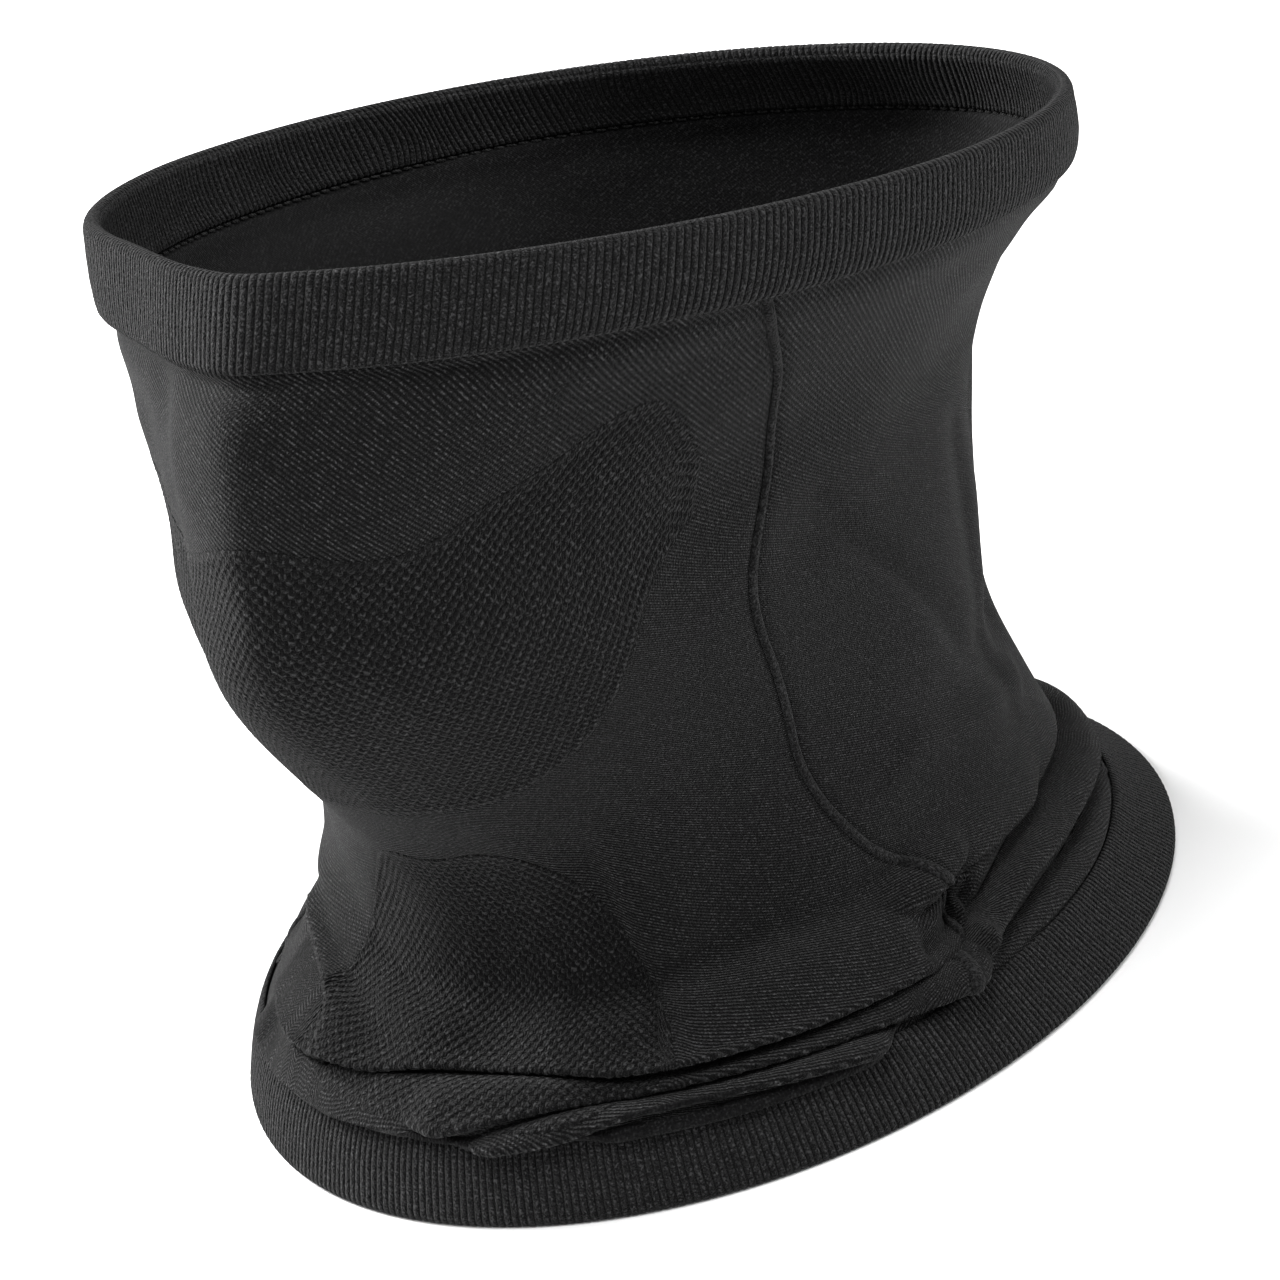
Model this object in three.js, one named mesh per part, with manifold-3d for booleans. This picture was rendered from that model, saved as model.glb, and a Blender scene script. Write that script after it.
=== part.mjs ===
// Neck gaiter: a knitted tube worn over the neck and lower face, standing on its bottom band.
// Millimetres. +Z is up, -Y is the wearer's front, +X is the wearer's left. The origin is the
// centre of the neck opening, level with the bottom edge that the gaiter rests on.
import * as THREE from 'three';
import { mergeVertices } from 'three/addons/utils/BufferGeometryUtils.js';
import Module from 'manifold-3d';

// Outline of the tube, one level per row from the bottom edge to the top edge. front and back are
// how far forward (-) and back the fabric is at the wearer's front and back, rise is how far those
// two points climb from the level below, half is half the width from side to side, and nose and
// nape are how full the front and back of the loop are (2 is an ellipse).
const outline = [
  { level: 'hem', front: -95, back: 96, rise: [0, 0], half: 75, nose: 2.0, nape: 2.0 },
  { level: 'cuff_top', front: -90, back: 80, rise: [13, 11], half: 69, nose: 2.0, nape: 2.0 },
  { level: 'gather', front: -82, back: 69, rise: [7, 23], half: 60, nose: 2.0, nape: 2.0 },
  { level: 'throat', front: -72, back: 64, rise: [10, 23], half: 55, nose: 2.0, nape: 2.0 },
  { level: 'neck', front: -76, back: 70, rise: [24, 22], half: 54, nose: 1.8, nape: 2.0 },
  { level: 'chin', front: -107, back: 86, rise: [40, 11], half: 54, nose: 1.6, nape: 2.0 },
  { level: 'mouth', front: -109, back: 95, rise: [23, 8], half: 56, nose: 1.6, nape: 2.1 },
  { level: 'cheek', front: -104, back: 101, rise: [19, 8], half: 62, nose: 1.7, nape: 2.1 },
  { level: 'band_low', front: -97, back: 104, rise: [11, 8], half: 71, nose: 1.8, nape: 2.1 },
  { level: 'rim', front: -90, back: 99, rise: [13, 13], half: 75, nose: 1.8, nape: 2.1 },
];
const hem = 0;
const cuffTop = 1;
const bandLow = outline.length - 2;
const rim = outline.length - 1;

// Fabric and trim, mm.
const gap = 0.3; // clearance between pieces that touch
const pocketGap = 0.45; // clearance each side of the fabric in the fold of a band
const bodyKnit = 1.0; // thickness of the body fabric
const meshKnit = 0.8; // thickness of the open vent knit
const bandPly = 1.0; // thickness of each of the two plies of a band
const tuck = 4.5; // how far the body fabric reaches into the fold of a band
const elasticThickness = 1.0; // flat elastic laid in the fold of a band
const threadThickness = 0.8; // chain stitch that closes the inner ply of a band
const innerPlyShort = 1.0; // how much shorter the inner ply is than the outer one
const foldRound = 1.0; // rounding of the top fold
const seamWidth = 2.4; // width of the raised side seam
const seamProud = 0.8; // how far the side seam stands out of the body fabric
const seamThreadWidth = 1.6; // overlock thread along the inside of a side seam
const seamThreadThickness = 0.6;
const seamGap = 0.4; // clearance between a side seam and the panels beside it
const seamStop = 0.6; // free length between a side seam and a band
const ventMargin = 0.6; // clearance round a vent panel in the front panel

// Side seams: degrees round the tube from the front, at each level given.
const seamPath = [[0, 66], [1, 66], [2, 78], [3, 66], [3.8, 59.5], [4.5, 64], [5.5, 72], [6.5, 70], [8, 60], [9, 59]];

// Vent panels: top and bottom edges as [degrees from the front, level], the same on both sides.
const faceVent = {
  reach: 62,
  top: [[0, 6.3], [22, 6.1], [40, 6.5], [53, 6.85], [62, 6.1]],
  bottom: [[0, 4.4], [25, 4.4], [48, 4.8], [62, 5.6]],
};
const throatVent = {
  reach: 32,
  top: [[0, 4.05], [14, 4.0], [25, 3.4], [32, 2.3]],
  bottom: [[0, 1.25], [18, 1.3], [27, 1.5], [32, 1.9]],
};

// Fineness of the solids.
const ringSteps = 60;
const panelRows = 23;
const ventRows = 9;
const cutDepth = 4; // reach of a vent opening's cutter each side of the fabric

const halfPocket = bodyKnit / 2 + pocketGap;
const bandFace = halfPocket + bandPly;
const wasm = await Module();
wasm.setup();

/** Smooth curve through [x, y] points in order of x. */
function through(points, x) {
  const last = points.length - 1;
  let i = 0;
  while (i < last - 1 && x > points[i + 1][0]) i += 1;
  const slope = (k) => {
    const a = points[Math.max(k - 1, 0)];
    const b = points[Math.min(k + 1, last)];
    return (b[1] - a[1]) / (b[0] - a[0]);
  };
  const [x0, y0] = points[i];
  const [x1, y1] = points[i + 1];
  const span = x1 - x0;
  const f = (x - x0) / span;
  const start = (1 + 2 * f) * (1 - f) ** 2 * y0 + f * (1 - f) ** 2 * span * slope(i);
  const end = f * f * (3 - 2 * f) * y1 - f * f * (1 - f) * span * slope(i + 1);
  return start + end;
}

const column = (read) => outline.map((row, level) => [level, read(row)]);
const climbed = (end) => column((row) => outline.slice(0, outline.indexOf(row) + 1)
  .reduce((height, step) => height + step.rise[end], 0));
const frontY = column((row) => row.front);
const frontZ = climbed(0);
const backY = column((row) => row.back);
const backZ = climbed(1);
const halfWidth = column((row) => row.half);
const noseFullness = column((row) => row.nose);
const napeFullness = column((row) => row.nape);

/** Point on the middle of the fabric, turn degrees from the front at a level of the outline. */
function fabricPoint(turn, level) {
  const angle = THREE.MathUtils.degToRad(turn);
  const cos = Math.cos(angle);
  const sin = Math.sin(angle);
  const fullness = through(cos > 0 ? noseFullness : napeFullness, level);
  const radius = (Math.abs(cos) ** fullness + Math.abs(sin) ** fullness) ** (-1 / fullness);
  const front = new THREE.Vector2(through(frontY, level), through(frontZ, level));
  const back = new THREE.Vector2(through(backY, level), through(backZ, level));
  const along = front.lerp(back, 0.5 - 0.5 * radius * cos);
  return new THREE.Vector3(through(halfWidth, level) * radius * sin, along.x, along.y);
}

const small = 0.02;

/** Change of the fabric point per degree of turn. */
function aroundRate(turn, level) {
  const step = fabricPoint(turn + small, level).sub(fabricPoint(turn - small, level));
  return step.divideScalar(2 * small);
}

/** Change of the fabric point per level. */
function upRate(turn, level) {
  const step = fabricPoint(turn, level + small).sub(fabricPoint(turn, level - small));
  return step.divideScalar(2 * small);
}

/** Point that stands a distance out of the middle of the fabric. */
function offsetPoint(turn, level, out) {
  const normal = aroundRate(turn, level).cross(upRate(turn, level)).normalize();
  const point = fabricPoint(turn, level).addScaledVector(normal, out);
  if (level === hem) point.z = 0;
  return point;
}

/** Level that lies a length of fabric above a given level. */
const rise = (turn, level, length) => level + length / upRate(turn, level).length();

/** Degrees that cover a length of fabric round the tube. */
const turnFor = (turn, level, length) => length / aroundRate(turn, level).length();

/** Degrees that cover a width measured square to the side seam, which leans as it climbs. */
function seamSpan(level, width) {
  const turn = through(seamPath, level);
  const lean = (through(seamPath, level + small) - through(seamPath, level - small)) / (2 * small);
  const drift = (lean * aroundRate(turn, level).length()) / upRate(turn, level).length();
  return turnFor(turn, level, width * Math.hypot(1, drift));
}

/** Closed geometry from a list of points and a list of quads. */
function geometryFrom(points, quads) {
  const geometry = new THREE.BufferGeometry();
  geometry.setAttribute('position', new THREE.Float32BufferAttribute(points.flatMap((p) => p.toArray()), 3));
  geometry.setIndex(quads.flatMap(([a, b, c, d]) => [a, b, c, a, c, d]));
  return geometry;
}

/** Loop round the tube whose section is a list of [level, mm above it, mm out of the fabric]. */
function ring(section) {
  const points = [];
  const quads = [];
  const count = section.length;
  for (let i = 0; i < ringSteps; i += 1) {
    const turn = (360 * i) / ringSteps;
    for (const [level, above, out] of section) {
      points.push(offsetPoint(turn, above === 0 ? level : rise(turn, level, above), out));
    }
    const next = ((i + 1) % ringSteps) * count;
    for (let k = 0; k < count; k += 1) {
      const l = (k + 1) % count;
      quads.push([i * count + k, next + k, next + l, i * count + l]);
    }
  }
  return geometryFrom(points, quads);
}

/** Sheet of fabric between two offsets; place(u, v) gives [turn, level] for u and v from 0 to 1. */
function sheet(place, columns, rows, inner, outer) {
  const points = [];
  const quads = [];
  const across = columns + 1;
  const layer = across * (rows + 1);
  for (const out of [outer, inner]) {
    for (let j = 0; j <= rows; j += 1) {
      for (let i = 0; i <= columns; i += 1) {
        points.push(offsetPoint(...place(i / columns, j / rows), out));
      }
    }
  }
  const at = (i, j) => j * across + i;
  for (let j = 0; j < rows; j += 1) {
    for (let i = 0; i < columns; i += 1) {
      quads.push([at(i, j), at(i + 1, j), at(i + 1, j + 1), at(i, j + 1)]);
      quads.push([at(i, j + 1), at(i + 1, j + 1), at(i + 1, j), at(i, j)].map((k) => k + layer));
    }
  }
  const wall = (a, b) => quads.push([a, a + layer, b + layer, b]);
  for (let i = 0; i < columns; i += 1) {
    wall(at(i, 0), at(i + 1, 0));
    wall(at(i + 1, rows), at(i, rows));
  }
  for (let j = 0; j < rows; j += 1) {
    wall(at(0, j + 1), at(0, j));
    wall(at(columns, j), at(columns, j + 1));
  }
  return geometryFrom(points, quads);
}

/** Level of the body fabric at height v; its first and last rows are the lengths in the bands. */
function bodyLevel(turn, v) {
  const row = v * panelRows;
  if (row < 1) return THREE.MathUtils.lerp(rise(turn, cuffTop, -tuck), cuffTop, row);
  if (row > panelRows - 1) return THREE.MathUtils.lerp(bandLow, rise(turn, bandLow, tuck), row + 1 - panelRows);
  return THREE.MathUtils.lerp(cuffTop, bandLow, (row - 1) / (panelRows - 2));
}

/** Degrees from the front to the edge of a panel, beside its seam. */
function panelEdge(v, side) {
  const turn = through(seamPath, THREE.MathUtils.lerp(cuffTop, bandLow, v));
  const level = bodyLevel(turn, v);
  return through(seamPath, level) + side * seamSpan(level, seamWidth / 2 + seamGap);
}

/** Front panel, from seam to seam, before the vents are let in. */
function frontSheet() {
  const place = (u, v) => {
    const turn = (2 * u - 1) * panelEdge(v, -1);
    return [turn, bodyLevel(turn, v)];
  };
  return sheet(place, Math.round(ringSteps * 0.4), panelRows, -bodyKnit / 2, bodyKnit / 2);
}

/** Back panel, from the left seam round the nape to the right seam. */
function backSheet() {
  const place = (u, v) => {
    const edge = panelEdge(v, 1);
    const turn = THREE.MathUtils.lerp(edge, 360 - edge, u);
    return [turn, bodyLevel(turn, v)];
  };
  return sheet(place, Math.round(ringSteps * 0.6), panelRows, -bodyKnit / 2, bodyKnit / 2);
}

/** Length of fabric to go up or down so that a slanted vent edge moves out by a margin. */
function slantMargin(edge, turn, margin) {
  const step = 1;
  const levels = [through(edge, turn - step), through(edge, turn)];
  const climb = fabricPoint(turn, levels[1]).distanceTo(fabricPoint(turn, levels[0]));
  const run = fabricPoint(turn, levels[1]).distanceTo(fabricPoint(turn - step, levels[1]));
  return margin * Math.hypot(1, climb / run);
}

/** Vent panel, grown by a margin on every side. */
function ventSheet(vent, margin, halfThickness) {
  const place = (u, v) => {
    const middle = (vent.top.at(-1)[1] + vent.bottom.at(-1)[1]) / 2;
    const reach = vent.reach + turnFor(vent.reach, middle, margin);
    const turn = (2 * u - 1) * reach;
    const edge = Math.min(Math.abs(turn), vent.reach);
    const low = rise(turn, through(vent.bottom, edge), -slantMargin(vent.bottom, edge, margin));
    const high = rise(turn, through(vent.top, edge), slantMargin(vent.top, edge, margin));
    return [turn, THREE.MathUtils.lerp(low, high, v)];
  };
  return sheet(place, 4 * Math.round(vent.reach / 10), ventRows, -halfThickness, halfThickness);
}

/** Strip that runs up the side seam, its rows level with the panels' rows, its ends cut short. */
function seamStrip(side, width, end, inner, outer) {
  const place = (u, v) => {
    const whole = THREE.MathUtils.lerp(cuffTop, bandLow, v);
    const level = rise(through(seamPath, whole), whole, v === 0 ? end : v === 1 ? -end : 0);
    return [side * through(seamPath, level) + seamSpan(level, (u - 0.5) * width), level];
  };
  return sheet(place, 2, panelRows - 2, inner, outer);
}

/** Solid for cutting, from a closed geometry. */
function solidOf(geometry) {
  const merged = mergeVertices(geometry);
  const mesh = new wasm.Mesh({
    numProp: 3,
    vertProperties: new Float32Array(merged.attributes.position.array),
    triVerts: new Uint32Array(merged.index.array),
  });
  return new wasm.Manifold(mesh);
}

/** Front panel with an opening for each vent panel. */
function frontPanel() {
  let panel = solidOf(frontSheet());
  for (const vent of [faceVent, throatVent]) {
    panel = panel.subtract(solidOf(ventSheet(vent, ventMargin, cutDepth)));
  }
  const mesh = panel.getMesh();
  const geometry = new THREE.BufferGeometry();
  geometry.setAttribute('position', new THREE.Float32BufferAttribute(mesh.vertProperties, 3));
  geometry.setIndex(Array.from(mesh.triVerts));
  return geometry;
}

/** Top band: ribbed fabric folded over at the rim, open at its lower edge to take the body. */
function topBand() {
  const middle = (bandLow + rim) / 2;
  return ring([
    [bandLow, 0, bandFace], [middle, 0, bandFace], [rim, -foldRound, bandFace],
    [rim, 0, bandFace - foldRound], [rim, 0, foldRound - bandFace],
    [rim, -foldRound, -bandFace], [middle, 0, -bandFace], [bandLow, innerPlyShort, -bandFace],
    [bandLow, innerPlyShort, -halfPocket], [middle, 0, -halfPocket], [rim, -bandPly, -halfPocket],
    [rim, -bandPly, halfPocket], [middle, 0, halfPocket], [bandLow, 0, halfPocket],
  ]);
}

/** Bottom band: folded under at the hem, with a flat edge to stand on, open at its upper edge. */
function bottomBand() {
  const middle = (hem + cuffTop) / 2;
  return ring([
    [hem, 0, -bandFace], [hem, 0, bandFace], [middle, 0, bandFace], [cuffTop, 0, bandFace],
    [cuffTop, 0, halfPocket], [middle, 0, halfPocket], [hem, bandPly, halfPocket],
    [hem, bandPly, -halfPocket], [middle, 0, -halfPocket], [cuffTop, -innerPlyShort, -halfPocket],
    [cuffTop, -innerPlyShort, -bandFace], [middle, 0, -bandFace],
  ]);
}

/** Flat elastic that fills a band's fold, from the body's edge to the inside of the fold. */
function elastic(low, lowRise, high, highRise) {
  const half = elasticThickness / 2;
  const middle = (low + high) / 2;
  return ring([
    [low, lowRise, -half], [low, lowRise, half], [middle, 0, half],
    [high, highRise, half], [high, highRise, -half], [middle, 0, -half],
  ]);
}

/** Chain stitch on the inside of the body fabric, along the edge of a band's inner ply. */
function chainStitch(level, start) {
  const near = -halfPocket;
  const far = near - threadThickness;
  const end = start + threadThickness;
  return ring([[level, start, far], [level, start, near], [level, end, near], [level, end, far]]);
}

const gaiter = new THREE.Group();

/** Adds one named piece with its colour and roughness. */
function add(name, geometry, color, roughness) {
  const material = new THREE.MeshStandardMaterial({ color, roughness, metalness: 0 });
  const mesh = new THREE.Mesh(geometry, material);
  mesh.name = name;
  gaiter.add(mesh);
}

const ribColor = 0x2e2e30;
const bodyColor = 0x29292b;
const meshColor = 0x222224;
const seamColor = 0x37373a;
const threadColor = 0x3d3d40;
const elasticColor = 0x18181a;
const clothRoughness = 0.92;
const seamOuter = bodyKnit / 2 + seamProud;
const threadInner = -halfPocket - seamThreadThickness;

add('front_panel', frontPanel(), bodyColor, clothRoughness);
add('back_panel', backSheet(), bodyColor, clothRoughness);
add('face_mesh_panel', ventSheet(faceVent, 0, meshKnit / 2), meshColor, clothRoughness);
add('throat_mesh_panel', ventSheet(throatVent, 0, meshKnit / 2), meshColor, clothRoughness);
add('top_band', topBand(), ribColor, clothRoughness);
add('top_band_elastic', elastic(bandLow, tuck + gap, rim, -bandPly - gap), elasticColor, 0.7);
add('top_band_stitch', chainStitch(bandLow, innerPlyShort - gap - threadThickness), threadColor, 0.8);
add('bottom_band', bottomBand(), ribColor, clothRoughness);
add('bottom_band_elastic', elastic(hem, bandPly + gap, cuffTop, -tuck - gap), elasticColor, 0.7);
add('bottom_band_stitch', chainStitch(cuffTop, gap - innerPlyShort), threadColor, 0.8);
for (const [name, side] of [['left', 1], ['right', -1]]) {
  const ridge = seamStrip(side, seamWidth, seamStop, -bodyKnit / 2, seamOuter);
  const thread = seamStrip(side, seamThreadWidth, 2 * seamStop, threadInner, -halfPocket);
  add(`${name}_side_seam`, ridge, seamColor, clothRoughness);
  add(`${name}_seam_thread`, thread, threadColor, 0.8);
}

export default gaiter;
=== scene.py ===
"""Neck gaiter in dark knit: ribbed bands, twill-faced body, open vents and raised side seams.

Lengths are in millimetres until a mesh is made, which turns them into metres. +Z is up, -Y is the
wearer's front and +X is the wearer's left. A place on the fabric is a turn, in degrees round the
tube from the front, and a level, which counts the rows of the outline from the bottom edge up.
"""

from __future__ import annotations

import logging
import math
from dataclasses import dataclass, field, replace
from enum import Enum
from typing import ClassVar

import bpy
import numpy as np
from mathutils import Matrix, Vector


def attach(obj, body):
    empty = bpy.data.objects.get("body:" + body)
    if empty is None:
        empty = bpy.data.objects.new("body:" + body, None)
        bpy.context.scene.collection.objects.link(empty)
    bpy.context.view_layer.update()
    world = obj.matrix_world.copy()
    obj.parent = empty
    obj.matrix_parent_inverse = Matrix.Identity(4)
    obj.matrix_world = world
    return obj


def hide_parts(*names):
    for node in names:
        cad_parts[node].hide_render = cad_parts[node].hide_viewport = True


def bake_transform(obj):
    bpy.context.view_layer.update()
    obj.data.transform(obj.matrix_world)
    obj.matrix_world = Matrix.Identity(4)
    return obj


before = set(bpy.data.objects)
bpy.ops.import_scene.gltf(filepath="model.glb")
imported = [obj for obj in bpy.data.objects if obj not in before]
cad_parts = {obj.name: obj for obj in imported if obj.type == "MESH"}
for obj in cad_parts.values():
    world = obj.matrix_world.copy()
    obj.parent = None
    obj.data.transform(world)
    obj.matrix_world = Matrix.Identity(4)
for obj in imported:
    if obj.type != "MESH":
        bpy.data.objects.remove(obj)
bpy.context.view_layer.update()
LOG = logging.getLogger("gaiter")
MM = 0.001
Array = np.ndarray
Points = tuple[tuple[float, float], ...]
Triple = tuple[float, float, float]


# ---------------------------------------------------------------- curves


def through(points: Points | Array, x: Array | float) -> Array:
    """Smooth curve through points in order of x: cubic between neighbours, slopes from the chords.

    Args:
        points: Pairs of x and y.
        x: Where to read the curve; past the ends it stays at the end values.

    Returns:
        The curve's y at each x.
    """
    table = np.asarray(points, float)
    knots, values = table[:, 0], table[:, 1:]
    slopes = np.empty_like(values)
    slopes[1:-1] = (values[2:] - values[:-2]) / (knots[2:] - knots[:-2])[:, None]
    slopes[0] = (values[1] - values[0]) / (knots[1] - knots[0])
    slopes[-1] = (values[-1] - values[-2]) / (knots[-1] - knots[-2])
    x = np.asarray(x, float)
    index = np.clip(np.searchsorted(knots, x, side="right") - 1, 0, len(knots) - 2)
    span = (knots[index + 1] - knots[index])[..., None]
    f = np.clip((x - knots[index])[..., None] / span, -0.5, 1.5)
    start = (1 + 2 * f) * (1 - f) ** 2 * values[index] + f * (1 - f) ** 2 * span * slopes[index]
    end = f * f * (3 - 2 * f) * values[index + 1] - f * f * (1 - f) * span * slopes[index + 1]
    result = start + end
    return result[..., 0] if result.shape[-1] == 1 else result


def smooth_step(low: float, high: float, x: Array) -> Array:
    """0 below low, 1 above high, and an even S between them."""
    f = np.clip((x - low) / (high - low), 0, 1)
    return f * f * (3 - 2 * f)


def between(rise: tuple[float, float], fall: tuple[float, float], x: Array) -> Array:
    """1 from the end of the rise to the start of the fall, 0 outside them, an even S in each."""
    return smooth_step(*rise, x) * (1 - smooth_step(*fall, x))


def wrap(turn: Array) -> Array:
    """The same turn, counted from -180 to 180 degrees."""
    return (turn + 180) % 360 - 180


def lengths(steps: Array) -> Array:
    """Lengths of vectors."""
    return np.linalg.norm(steps, axis=-1)


def travelled(points: Array) -> Array:
    """Distance from the first point to each one, along the grid's first axis."""
    steps = lengths(np.diff(points, axis=0))
    return np.concatenate([np.zeros((1, *steps.shape[1:])), np.cumsum(steps, axis=0)])


def both_sides(points: Points) -> Points:
    """A curve given from the middle to one side, with its mirror image on the other side."""
    return tuple((-x, y) for x, y in reversed(points[1:])) + points


def spread(counts: Points) -> Array:
    """Levels with a chosen number of rows between each pair of stops.

    Args:
        counts: Pairs of a stop and the number of rows from it to the next stop.

    Returns:
        The levels from the first stop to the last.
    """
    stops = [stop for stop, _ in counts]
    steps = np.cumsum([0] + [count for _, count in counts[:-1]])
    return np.interp(np.arange(steps[-1] + 1), steps, stops)


# ---------------------------------------------------------------- folds


class Run(Enum):
    """Which way a fold runs: round the tube, or up it."""

    ROUND = "round"
    UP = "up"


@dataclass(frozen=True)
class Fold:
    """A fold in the fabric: a ridge with a steep or a soft lower side, or a plain groove.

    Attributes:
        path: Its line, as (turn, level) where it runs round and (level, turn) where it runs up.
        width: Half width on the upper side, or towards the wearer's left where it runs up.
        height: How far it stands out; negative for a groove.
        drop: How far it hangs down, which turns a ridge into a lip.
        under: Half width on the other side; 0 for the same as width.
        tuck: How deep the fabric goes in just under a lip.
        fade: Length of each end, in the path's first unit.
        run: Which way it runs.
    """

    path: Points
    width: float
    height: float
    drop: float = 0.0
    under: float = 0.0
    tuck: float = 0.0
    fade: float = 12.0
    run: Run = Run.ROUND

    def shift(self, turn: Array, level: Array, around: Array, up: Array) -> tuple[Array, Array]:
        """How far the fold moves each place out and down.

        The bell is exp(-(distance / width) squared). The fabric goes out before it goes down, so
        out follows the bell to the power 0.7 and down follows it to the power 1.5. The tuck is a
        second bell, centred 1.6 widths below the line.

        Args:
            turn: Degrees from the front.
            level: Level of the outline.
            around: Millimetres per degree there.
            up: Millimetres per level there.

        Returns:
            Distances outwards and downwards.
        """
        along, across, scale = (turn, level, up) if self.run is Run.ROUND else (level, turn, around)
        first, last = self.path[0][0], self.path[-1][0]
        distance = (across - through(self.path, np.clip(along, first, last))) * scale
        ends = between((first - self.fade, first), (last, last + self.fade), along)
        under = self.under or self.width
        bell = np.exp(-((distance / np.where(distance > 0, self.width, under)) ** 2))
        tucked = np.exp(-((distance / under + 1.6) ** 2))
        out = (self.height * bell**0.7 - self.tuck * tucked) * ends
        return out, self.drop * bell**1.5 * ends


def mirrored(fold: Fold, share: float = 1.0) -> Fold:
    """The same fold on the wearer's other side, with its sizes out of the fabric scaled."""
    if fold.run is Run.ROUND:
        path = tuple((-turn, level) for turn, level in reversed(fold.path))
    else:
        path = tuple((level, -turn) for level, turn in fold.path)
    sizes = {"height": fold.height * share, "drop": fold.drop * share, "tuck": fold.tuck * share}
    return replace(fold, path=path, **sizes)


COLLAR_FOLDS = (
    # The long folds that leave the pucker at a side seam and run round the back of the collar.
    Fold(((76, 2.2), (100, 1.95)), 3.8, 2.2, 2.0, 0.9, 3.0, 10.0),
    Fold(((72, 1.3), (90, 1.6), (160, 1.2)), 1.5, 4.2, 2.0, 1.3, 1.0, 14.0),
    Fold(((75, 1.6), (95, 1.8), (140, 1.5)), 1.2, -3.2, 0.0, 1.2, 0.0, 14.0),
    Fold(((78, 1.25), (95, 1.35), (140, 1.15)), 0.9, -2.2, 0.0, 0.9, 0.0, 14.0),
    Fold(((90, 1.15), (150, 1.15)), 1.4, 1.8, 1.4, 0.8, 0.0, 16.0),
    # Soft slanting folds over the collar, and upright creases in the nape.
    Fold(((80, 5.0), (100, 3.4), (120, 2.9)), 5.0, -1.5, 0.0, 5.0, 0.0, 12.0),
    Fold(((80, 3.3), (115, 2.5)), 3.0, 1.4, 0.0, 2.4, 0.0, 10.0),
    Fold(((2.7, 110), (4.6, 110)), 3.0, -0.9, 0.0, 5.0, 0.0, 0.6, Run.UP),
    Fold(((2.9, 125), (5.0, 125)), 3.0, -0.8, 0.0, 6.0, 0.0, 0.6, Run.UP),
)
FRONT_FOLDS = (
    # The upper lip, which hangs over the front from one seam to the other and sags beside the throat.
    Fold(((-45, 2.0), (-30, 1.8), (0, 2.2), (35, 1.9), (72, 1.65)), 8.5, 6.4, 4.8, 1.0, 3.4, 8.0),
    # The second and the third lip, which start at the middle of the front and run to the left seam.
    Fold(((0, 1.3), (20, 1.6), (70, 1.3)), 3.6, 5.0, 4.0, 0.8, 3.0, 7.0),
    Fold(((8, 1.15), (28, 1.3), (55, 1.2)), 1.7, 4.8, 3.8, 0.65, 1.8, 8.0),
    # The soft roll on top of the bottom band, and the tongue at the end of it.
    Fold(((-45, 1.15), (15, 1.1)), 7.5, 4.6, 2.9, 0.7, 0.0, 10.0),
    Fold(((24, 1.1), (54, 1.1)), 1.7, 5.4, 4.2, 0.6, 0.0, 7.0),
    # The crease on the wearer's right of the throat, and the softer ones beside it.
    Fold(((1.75, -24), (2.3, -28), (2.85, -48)), 6.0, 2.6, 0.0, 0.8, 1.8, 0.25, Run.UP),
    Fold(((-50, 3.1), (-25, 2.9), (-10, 2.5)), 3.0, 1.5, 0.4, 3.6),
    Fold(((-54, 2.2), (-44, 1.4)), 2.4, -1.8),
    # The long soft valley over the upper lip.
    Fold(((25, 2.8), (45, 2.8), (68, 2.5)), 3.6, -1.5),
    # Soft folds in the wearer's right cheek.
    Fold(((5.2, -26), (7.6, -20)), 4.0, -1.0, 0.0, 6.0, 0.0, 0.5, Run.UP),
    Fold(((4.4, -43), (6.8, -41)), 4.0, 0.9, 0.0, 5.0, 0.0, 0.5, Run.UP),
    # Soft hollows beside the throat vent, and between the face vent and the left seam.
    Fold(((2.3, 30), (3.8, 24)), 1.6, -1.2, 0.0, 3.2, 0.0, 0.4, Run.UP),
    Fold(((3.0, 40), (5.4, 60)), 8.0, -0.9, 0.0, 8.0, 0.0, 0.8, Run.UP),
    Fold(((2.4, 5), (3.9, 5)), 6.0, -1.0, 0.0, 6.0, 0.0, 0.5, Run.UP),
    # The body fabric goes in a little under the top band, all the way round.
    Fold(((-200, 7.9), (200, 7.9)), 2.2, -0.8),
    # Pinched fabric where the left seam meets the bottom band.
    Fold(((70, 2.3), (80, 2.3)), 2.2, 2.4, 1.4, 1.0, 1.2, 4.0),
    Fold(((70, 1.85), (80, 1.85)), 2.2, -4.4, 0.0, 1.8, 0.0, 3.0),
    Fold(((1.25, 75), (1.95, 80)), 1.6, 2.2, 0.0, 0.8, 1.2, 0.2, Run.UP),
)
RIGHT_SHARE = 0.25  # The wearer's right side has the collar folds of the left, this much as deep.
FOLDS = FRONT_FOLDS + COLLAR_FOLDS + tuple(mirrored(fold, RIGHT_SHARE) for fold in COLLAR_FOLDS)


# ---------------------------------------------------------------- the tube


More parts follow.
